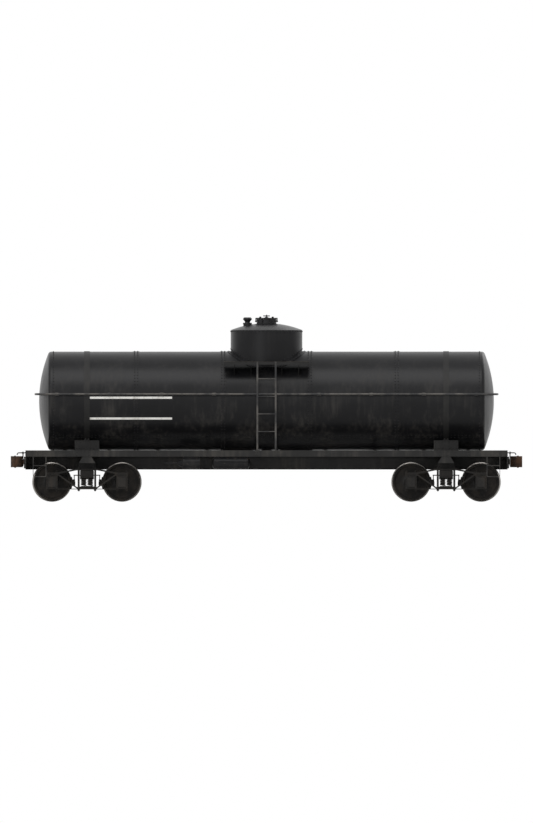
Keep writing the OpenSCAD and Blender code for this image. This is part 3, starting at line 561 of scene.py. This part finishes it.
VALVE_LOW, VALVE_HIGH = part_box("safety_valve")
valve_x = (VALVE_LOW.x + VALVE_HIGH.x) / 2
VALVE_R = VALVE_HIGH.x - valve_x
VALVE_FLANGE = 0.1374  # from its cap down to the flange
STUDS, STUD_INSET = 8, 0.018
stud = moved(bolt(0.022, 0.014), (valve_x + VALVE_R - STUD_INSET, 0, VALVE_HIGH.z - VALVE_FLANGE))
finished("valve_studs", [in_ring(stud, STUDS, Z, Vector((valve_x, 0, 0)))], "car", fitting_paint)

# ------------------------------------------------------------------ bands and saddles
# A wide steel band holds the tank down on each saddle. The saddles are built up of plates and angles and
# riveted to the body bolsters.

frame_paint = painted("frame_paint", (0.0125, 0.0122, 0.012), (0.10, 0.09, 0.078), 0.5,
                      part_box("center_sill")[0].z - 0.1, TANK_HIGH.z)
frame_paint.bump(frame_paint.grain * 0.2 + frame_paint.noise(11, 4), 0.0015, 0.7)
dress(["tank_bands", "tank_saddles", "tank_anchor"], frame_paint)

SADDLE_LOW, SADDLE_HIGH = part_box("tank_saddles")
SADDLE_HALF = SADDLE_HIGH.x - TRUCK_X
DECK_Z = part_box("running_boards")[1].z
INSET, SADDLE_RIVETS = 0.04, 7
saddle_step = 2 * (SADDLE_HALF - INSET) / (SADDLE_RIVETS - 1)
saddle_rivets = []
for z in (SADDLE_HIGH.z - 0.03, DECK_Z + 0.045):
    head = turned(button(0.014, 0.009), X, math.pi / 2)
    head = moved(head, (TRUCK_X - SADDLE_HALF + INSET, SADDLE_LOW.y, z))
    saddle_rivets.append(in_line(head, SADDLE_RIVETS, (saddle_step, 0, 0)))
band_lug = moved(bolt(0.032, 0.026), (TRUCK_X - BAND_HALF / 2, SADDLE_LOW.y - 0.035, SADDLE_HIGH.z + 0.013))
saddle_rivets.append(in_line(band_lug, 2, (BAND_HALF, 0, 0)))
finished("saddle_rivets", four_times(saddle_rivets), "car", frame_paint)

# ------------------------------------------------------------------ deck boards and dome platforms
# Sawn planks, stained with oil and soot and greyed along the middle where the crew walks.

wood = Finish("deck_wood")
board_tone = wood.noise(1.1, 2, stretch=(0.15, 6, 1))
grain = wood.noise(9, 8, stretch=(0.22, 5.5, 5.5), rough=0.7)
grime = wood.noise(1.7, 6)
sawn = wood.blend(wood.ease(grain, 0.36, 0.64), (0.020, 0.017, 0.015), (0.070, 0.060, 0.050))
trodden = wood.ease(grime * 0.7 + board_tone * 0.3, 0.48, 0.68) * 0.55
wood.set(Base_Color=wood.blend(trodden, sawn, (0.12, 0.11, 0.098)),
         Roughness=0.62 + grime * 0.3)
wood.bump(grain + grime * 0.3, 0.004, 0.8)
dress(["running_boards", "end_boards"], wood)

dress(["dome_platforms"], frame_paint)
PLAT_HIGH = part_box("dome_platforms")[1]
PLAT_IN = DOME_R + 0.024  # clear of the dome
PLANKS = 3
PLANK_GAP, PLANK_T, PROUD = 0.012, 0.012, 0.005
plank_w = (PLAT_HIGH.y - PLAT_IN - PLANK_GAP * (PLANKS - 1)) / PLANKS
plank_z = PLAT_HIGH.z + PROUD - PLANK_T / 2
bpy.ops.mesh.primitive_cube_add(size=1, location=(0, PLAT_IN + plank_w / 2, plank_z))
plank = bpy.context.object
plank.scale = (PLAT_HIGH.x * 2, plank_w, PLANK_T)
settle(plank)
edge = plank.modifiers.new("edge", "BEVEL")
edge.width = 0.003
edge.segments = 2
bpy.ops.object.modifier_apply(modifier="edge")
plank = in_line(plank, PLANKS, (0, plank_w + PLANK_GAP, 0))
finished("platform_planks", mirrored(plank, 1), "car", wood)

NAILS, NAIL_X = 6, PLAT_HIGH.x * 0.93
nail = moved(button(0.009, 0.0035, 8, 4), (-NAIL_X, PLAT_IN + plank_w * 0.25, PLAT_HIGH.z + PROUD))
nails = in_line(nail, NAILS, (2 * NAIL_X / (NAILS - 1), 0, 0))
nails = in_line(nails, 2, (0, plank_w * 0.5, 0))
nails = in_line(nails, PLANKS, (0, plank_w + PLANK_GAP, 0))
finished("platform_nails", mirrored(nails, 1), "car", fitting_paint)

# ------------------------------------------------------------------ ladders, handrail and steps
# Flat bar stiles with round rungs, and a pipe rail that runs right round the tank on forged brackets.

rail_paint = handled("rail_paint", (0.024, 0.024, 0.025), 1.0, slot="fitting_paint")
rail_wear = rail_paint.ease(rail_paint.noise(3.1, 5), 0.40, 0.62)
rail_paint.set(Base_Color=rail_paint.blend(rail_wear * 0.75, rail_paint.colour, (0.105, 0.098, 0.090)),
               Roughness=rail_paint.rough, Metallic=rail_wear * 0.45)
dress(["ladders", "handrail", "end_handrails", "handrail_brackets", "sill_steps"], rail_paint)
STILE_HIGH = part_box("ladders")[1]
stile_x = STILE_HIGH.x - 0.02
foot_bolt = moved(bolt(0.02, 0.014), (stile_x, STILE_HIGH.y - 0.025, DECK_Z + 0.012))
top_bolt = turned(bolt(0.018, 0.012), X, -math.pi / 2)
top_bolt = moved(top_bolt, (stile_x, PLAT_HIGH.y + 0.012, PLAT_HIGH.z - 0.034))
finished("ladder_bolts", four_times([foot_bolt, top_bolt]), "car", rail_paint)

# ------------------------------------------------------------------ underframe
# Rolled channels and pressed plates riveted together: a centre sill, side rails, bolsters, end sills and
# cross bearers. Brake dust and road dirt hang on it more than on the tank.

dress(["center_sill", "body_bolsters", "end_sills", "side_rails", "cross_bearers", "draft_gear"], frame_paint)
dress(["brake_cylinder", "air_reservoir", "brake_pipe"], fitting_paint)

RAIL_LOW, RAIL_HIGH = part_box("side_rails")
END_LOW, END_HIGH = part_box("end_sills")
SILL_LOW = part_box("center_sill")[0]
SILL_HALF = 0.164  # over the webs of the centre sill


def wall_rivet(place, axis=X):
    """A small rivet on an upright plate."""
    return moved(turned(button(0.012, 0.008, 8, 6), axis, math.pi / 2), place)


def bearer_places():
    """The middle of each cross bearer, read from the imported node."""
    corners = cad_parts["cross_bearers"].data.vertices
    planes = sorted({round(v.co.x, 3) for v in corners if v.co.x > 0})
    return [(planes[i] + planes[i + 2]) / 2 for i in range(0, len(planes) - 2, 3)]


RAIL_PITCH = 0.09
rail_rivets = []
rail_mid = (RAIL_LOW.z + RAIL_HIGH.z) / 2
for x in bearer_places():
    pair = wall_rivet((x - 0.025, RAIL_LOW.y, rail_mid - 0.035))
    pair = in_line(pair, 2, (0.05, 0, 0))
    rail_rivets.append(in_line(pair, 2, (0, 0, 0.07)))
for x, count in ((TRUCK_X, 6), (SHELL_END + 0.44, 3)):
    row = wall_rivet((x - RAIL_PITCH / 2 * (count - 1), RAIL_LOW.y, rail_mid - 0.04))
    row = in_line(row, count, (RAIL_PITCH, 0, 0))
    rail_rivets.append(in_line(row, 2, (0, 0, 0.08)))
finished("side_rail_rivets", four_times(rail_rivets), "car", frame_paint)

end_rows = []
for y in (SILL_HALF + 0.05, END_HIGH.y - 0.05):
    column = wall_rivet((END_HIGH.x, y, END_LOW.z + 0.05), Y)
    end_rows.append(in_line(column, 4, (0, 0, (END_HIGH.z - END_LOW.z - 0.1) / 3)))
for z in (END_LOW.z + 0.035, RAIL_LOW.z + 0.035):
    row = wall_rivet((END_HIGH.x, SILL_HALF + 0.13, z), Y)
    end_rows.append(in_line(row, 9, (0, (END_HIGH.y - SILL_HALF - 0.26) / 8, 0)))
finished("end_sill_rivets", four_times(end_rows), "car", frame_paint)

FLANGE_RIVETS = 24
sill_rows = []
for z in (SILL_LOW.z + 0.05, RAIL_LOW.z - 0.05):
    row = wall_rivet((0.06, -SILL_HALF, z))
    sill_rows.append(in_line(row, FLANGE_RIVETS, ((TRUCK_X - 0.45) / (FLANGE_RIVETS - 1), 0, 0)))
for x in (TRUCK_X - 0.30, TRUCK_X + 0.30, TRUCK_X + 0.62, TRUCK_X + 0.95):
    block = wall_rivet((x - 0.05, -SILL_HALF, SILL_LOW.z + 0.06))
    block = in_line(block, 3, (0.05, 0, 0))
    sill_rows.append(in_line(block, 4, (0, 0, 0.055)))
finished("sill_rivets", four_times(sill_rows), "car", frame_paint)

# ------------------------------------------------------------------ couplers
# Cast steel automatic couplers, left unpainted and browned, with their edges rounded by the mould.

coupler_iron = Finish("coupler_iron")
mill_scale = coupler_iron.noise(6, 6)
pits = coupler_iron.noise(48, 4)
rust = coupler_iron.blend(coupler_iron.ease(mill_scale, 0.38, 0.62),
                          (0.030, 0.021, 0.016), (0.075, 0.040, 0.024))
coupler_iron.set(Base_Color=rust, Roughness=0.55 + mill_scale * 0.3, Metallic=0.25)
coupler_iron.bump(pits + mill_scale * 0.6, 0.003, 0.8)


MOULD_R = 0.008


def rounded(name, node):
    """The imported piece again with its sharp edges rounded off."""
    piece = copy_of(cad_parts[node])
    piece.parent = None
    # the copy is a piece of its own, without the node's tags
    for key in list(piece.keys()):
        del piece[key]
    only(piece)
    bpy.ops.object.mode_set(mode="EDIT")
    bpy.ops.mesh.select_all(action="SELECT")
    bpy.ops.mesh.remove_doubles(threshold=0.0002)
    bpy.ops.mesh.dissolve_limited(angle_limit=math.radians(1))
    bpy.ops.object.mode_set(mode="OBJECT")
    soft = piece.modifiers.new("soft", "BEVEL")
    soft.width = MOULD_R
    soft.segments = 2
    soft.limit_method = "ANGLE"
    soft.angle_limit = math.radians(40)
    soft.use_clamp_overlap = True
    bpy.ops.object.modifier_apply(modifier="soft")
    finished(name, [piece], "car", coupler_iron, 40)
    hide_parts(node)


for end in ("front", "rear"):
    rounded(end + "_coupler_casting", end + "_coupler")

# ------------------------------------------------------------------ uncoupling levers and grab irons
# Round bars bent hot in a jig. A lever at each end lifts the coupler's lock from the side of the car, and
# a grab iron by each corner gives the crew a hold.


def rod(points, radius):
    """A round bar along the points."""
    bpy.ops.curve.primitive_bezier_curve_add()
    bar = bpy.context.object
    line = bar.data
    line.splines.clear()
    run = line.splines.new("POLY")
    run.points.add(len(points) - 1)
    for spot, place in zip(run.points, points):
        spot.co = (*place, 1)
    line.dimensions = "3D"
    line.bevel_depth = radius
    line.bevel_resolution = 3
    line.use_fill_caps = True
    only(bar)
    bpy.ops.object.convert(target="MESH")
    return bpy.context.object


def bent(corners, radius, steps=5):
    """The corners of a bar, each turned through a short arc."""
    route = [Vector(corners[0])]
    for before, at, after in zip(corners, corners[1:], corners[2:]):
        at = Vector(at)
        into = (Vector(before) - at).normalized() * radius
        away = (Vector(after) - at).normalized() * radius
        for i in range(steps + 1):
            t = i / steps
            route.append(at + into * (1 - t) ** 2 + away * t ** 2)
    return route + [Vector(corners[-1])]


LEVER_R, STEM_R, GRAB_R = 0.0125, 0.009, 0.011
LEVER_BEND, GRAB_BEND = 0.045, 0.03
lever_z = END_HIGH.z - 0.055
lever_x = END_HIGH.x + 0.055
lever_out = END_HIGH.y - 0.09
lever_route = bent([
    (lever_x, -lever_out, lever_z - 0.30), (lever_x, -lever_out, lever_z), (lever_x, -0.06, lever_z),
    (lever_x + 0.13, -0.06, lever_z), (lever_x + 0.13, -0.06, lever_z - 0.05)], LEVER_BEND)
front_lever = [rod(lever_route, LEVER_R)]
for y in (-lever_out + 0.10, -0.30):
    bpy.ops.mesh.primitive_torus_add(major_radius=0.021, minor_radius=0.007,
                                     major_segments=20, minor_segments=8,
                                     location=(lever_x, y, lever_z), rotation=(math.pi / 2, 0, 0))
    front_lever.append(settle(bpy.context.object))
    front_lever.append(rod([(END_HIGH.x - 0.002, y, lever_z), (lever_x - 0.02, y, lever_z)], STEM_R))
    front_lever.append(moved(turned(bolt(0.03, 0.012), Y, math.pi / 2), (END_HIGH.x, y, lever_z)))
rear_lever = [turned(copy_of(part), Z, math.pi) for part in front_lever]
finished("front_uncoupling_lever", front_lever, "car", rail_paint)
finished("rear_uncoupling_lever", rear_lever, "car", rail_paint)

GRAB_LENGTH, GRAB_OUT, GRAB_INSET = 0.50, 0.065, 0.16
grabs = []
grab_z = END_HIGH.z - 0.20
grab_x = END_HIGH.x + GRAB_OUT
for y in (-END_HIGH.y + GRAB_INSET, END_HIGH.y - GRAB_INSET - GRAB_LENGTH):
    end_y = y + GRAB_LENGTH
    route = bent([(END_HIGH.x, y, grab_z), (grab_x, y, grab_z), (grab_x, end_y, grab_z),
                  (END_HIGH.x, end_y, grab_z)], GRAB_BEND)
    grabs.append(rod(route, GRAB_R))
    for foot in (y, end_y):
        grabs.append(moved(turned(bolt(0.032, 0.012), Y, math.pi / 2), (END_HIGH.x, foot, grab_z)))
grabs += [turned(copy_of(part), Z, math.pi) for part in grabs]
finished("end_grab_irons", grabs, "car", rail_paint)

# ------------------------------------------------------------------ trucks
# Arch-bar trucks: forged bars bolted over cast boxes and columns, a cast bolster on coil springs, and
# brake beams hung inside the wheels. Brake dust and oil have turned the black brown and matt.

truck_iron = painted("truck_iron", (0.012, 0.0112, 0.0105), (0.075, 0.060, 0.047), 0.6, 0.2, 1.6)
oily = truck_iron.ease(truck_iron.noise(5, 5), 0.58, 0.75)
truck_iron.set(Base_Color=truck_iron.blend(oily * 0.7, truck_iron.colour, (0.008, 0.007, 0.006)),
               Roughness=truck_iron.rough - oily * 0.25)
truck_iron.bump(truck_iron.grain * 0.5 + truck_iron.noise(7, 5), 0.003, 0.8)

IRON_PARTS = ["bolster", "left_frame", "right_frame", "boxes", "plank", "brakes"]
for end in ("front", "rear"):
    dress([f"{end}_truck_{part}" for part in IRON_PARTS], truck_iron)

NEST_LOW, NEST_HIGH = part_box("front_truck_springs")
FRAME_LOW, FRAME_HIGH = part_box("front_truck_left_frame")
FRAME_Y = (FRAME_LOW.y + FRAME_HIGH.y) / 2
SEAT, SEAT_T, SEAT_EDGE = 0.27, 0.012, 0.004
COIL_R, COIL_WIRE, COIL_TURNS = 0.054, 0.0125, 4.5
NEST_STEP = 0.074


def coil(radius, wire, turns, low, high):
    """A coil spring standing on low, wound from round bar."""
    bpy.ops.mesh.primitive_circle_add(vertices=10, radius=wire, location=(radius, 0, low + wire),
                                      rotation=(math.pi / 2, 0, 0))
    spring = settle(bpy.context.object)
    winding = spring.modifiers.new("winding", "SCREW")
    winding.axis = "Z"
    winding.angle = 2 * math.pi * turns
    winding.screw_offset = high - low - 2 * wire
    winding.steps = winding.render_steps = round(turns * 18)
    winding.use_smooth_shade = True
    only(spring)
    bpy.ops.object.modifier_apply(modifier="winding")
    bpy.ops.object.mode_set(mode="EDIT")
    bpy.ops.mesh.select_all(action="DESELECT")
    bpy.ops.mesh.select_non_manifold()
    bpy.ops.mesh.edge_face_add()
    bpy.ops.object.mode_set(mode="OBJECT")
    return facing_out(spring)


for end, sign in (("front", 1), ("rear", -1)):
    centre = Vector((sign * TRUCK_X, 0, 0))
    low, high = NEST_LOW.z + SEAT_T, NEST_HIGH.z - SEAT_T
    parts = []
    for side_y in (-FRAME_Y, FRAME_Y):
        for dx in (-NEST_STEP, NEST_STEP):
            for dy in (-NEST_STEP, NEST_STEP):
                spot = centre + Vector((dx, side_y + dy, 0))
                parts.append(moved(coil(COIL_R, COIL_WIRE, COIL_TURNS, low, high), spot))
                parts.append(moved(coil(COIL_R * 0.5, COIL_WIRE * 0.62, COIL_TURNS * 1.6, low, high), spot))
        for z in (NEST_LOW.z + SEAT_T / 2, NEST_HIGH.z - SEAT_T / 2):
            bpy.ops.mesh.primitive_cube_add(size=1, location=centre + Vector((0, side_y, z)))
            seat = bpy.context.object
            seat.scale = (SEAT, SEAT, SEAT_T)
            settle(seat)
            edge = seat.modifiers.new("edge", "BEVEL")
            edge.width = SEAT_EDGE
            bpy.ops.object.modifier_apply(modifier="edge")
            parts.append(seat)
    nest = finished(end + "_spring_nests", parts, end + "_truck", truck_iron)
    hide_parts(end + "_truck_springs")

AXLE_LOW, AXLE_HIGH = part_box("axle_4")
AXLE_HALF = (AXLE_LOW.x + AXLE_HIGH.x) / 2 - TRUCK_X
AXLE_Z = (AXLE_LOW.z + AXLE_HIGH.z) / 2
BOX_BOLT_X, COLUMN_X = 0.105, 0.185
BOX_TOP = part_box("front_truck_boxes")[1].z + 0.076
NUT = 0.05


def through_bolt(x, y, top, nut_height):
    """The two nuts of a bolt that holds the bars of a side frame together."""
    return [moved(bolt(NUT, nut_height), (x, y, top)),
            moved(turned(bolt(NUT, 0.03), X, math.pi), (x, y, FRAME_LOW.z))]


for end, sign in (("front", 1), ("rear", -1)):
    nuts = []
    for y in (-FRAME_Y, FRAME_Y):
        for box_x in (-AXLE_HALF, AXLE_HALF):
            for dx in (-BOX_BOLT_X, BOX_BOLT_X):
                nuts += through_bolt(sign * TRUCK_X + box_x + dx, y, BOX_TOP, 0.036)
        for dx in (-COLUMN_X, COLUMN_X):
            nuts += through_bolt(sign * TRUCK_X + dx, y, FRAME_HIGH.z, 0.03)
    finished(end + "_truck_nuts", nuts, end + "_truck", truck_iron)

# ------------------------------------------------------------------ wheels and axles
# Chilled iron wheels pressed on forged axles. The treads are bright from the rail, the plates keep a
# coat of brown dust, and oil has crept out over the hubs.

TREAD_R = 0.419


def wheel_finish(name, centre_x):
    finish = Finish(name, "wheel_iron")
    dx = finish.x - centre_x
    dz = finish.z - AXLE_Z
    square = dx * dx + dz * dz
    reach = square.math("SQRT", square)
    cloudy = finish.noise(4, 6)
    fine = finish.noise(40, 3)
    dusty = finish.ease(cloudy, 0.35, 0.7)
    plate = finish.blend(dusty, (0.0085, 0.008, 0.0078), (0.027, 0.0225, 0.0185))
    oily = finish.ease(reach + (cloudy - 0.5) * 0.12, 0.25, 0.14)
    hub = finish.blend(oily, plate, (0.007, 0.0062, 0.0055))
    bright = finish.ease(reach, TREAD_R - 0.006, TREAD_R - 0.002)
    # only the tread and the flange face, and not the back of the rim, run on the rail
    across = abs(finish.y)
    running = bright * finish.ease(across, 0.690, 0.700)
    finish.set(Base_Color=finish.blend(running, hub, (0.33, 0.31, 0.29)),
               Roughness=0.62 - oily * 0.28 - running * 0.30 + fine * 0.1, Metallic=running * 0.9)
    finish.bump(fine * 0.4 + cloudy, 0.002, 0.7)
    return finish


for number in range(1, 5):
    low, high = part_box(f"wheels_{number}")
    finish = wheel_finish(f"wheel_iron_{number}", (low.x + high.x) / 2)
    dress([f"wheels_{number}"], finish)

axle_steel = Finish("axle_steel")
turned_marks = axle_steel.noise(3, 4, stretch=(1, 30, 1))
axle_steel.set(Base_Color=axle_steel.blend(axle_steel.ease(axle_steel.noise(5, 5), 0.35, 0.65),
                                           (0.024, 0.020, 0.017), (0.075, 0.062, 0.05)),
               Roughness=0.42 + turned_marks * 0.25, Metallic=0.6)
axle_steel.bump(turned_marks, 0.0008, 0.5)
dress([f"axle_{number}" for number in range(1, 5)], axle_steel)
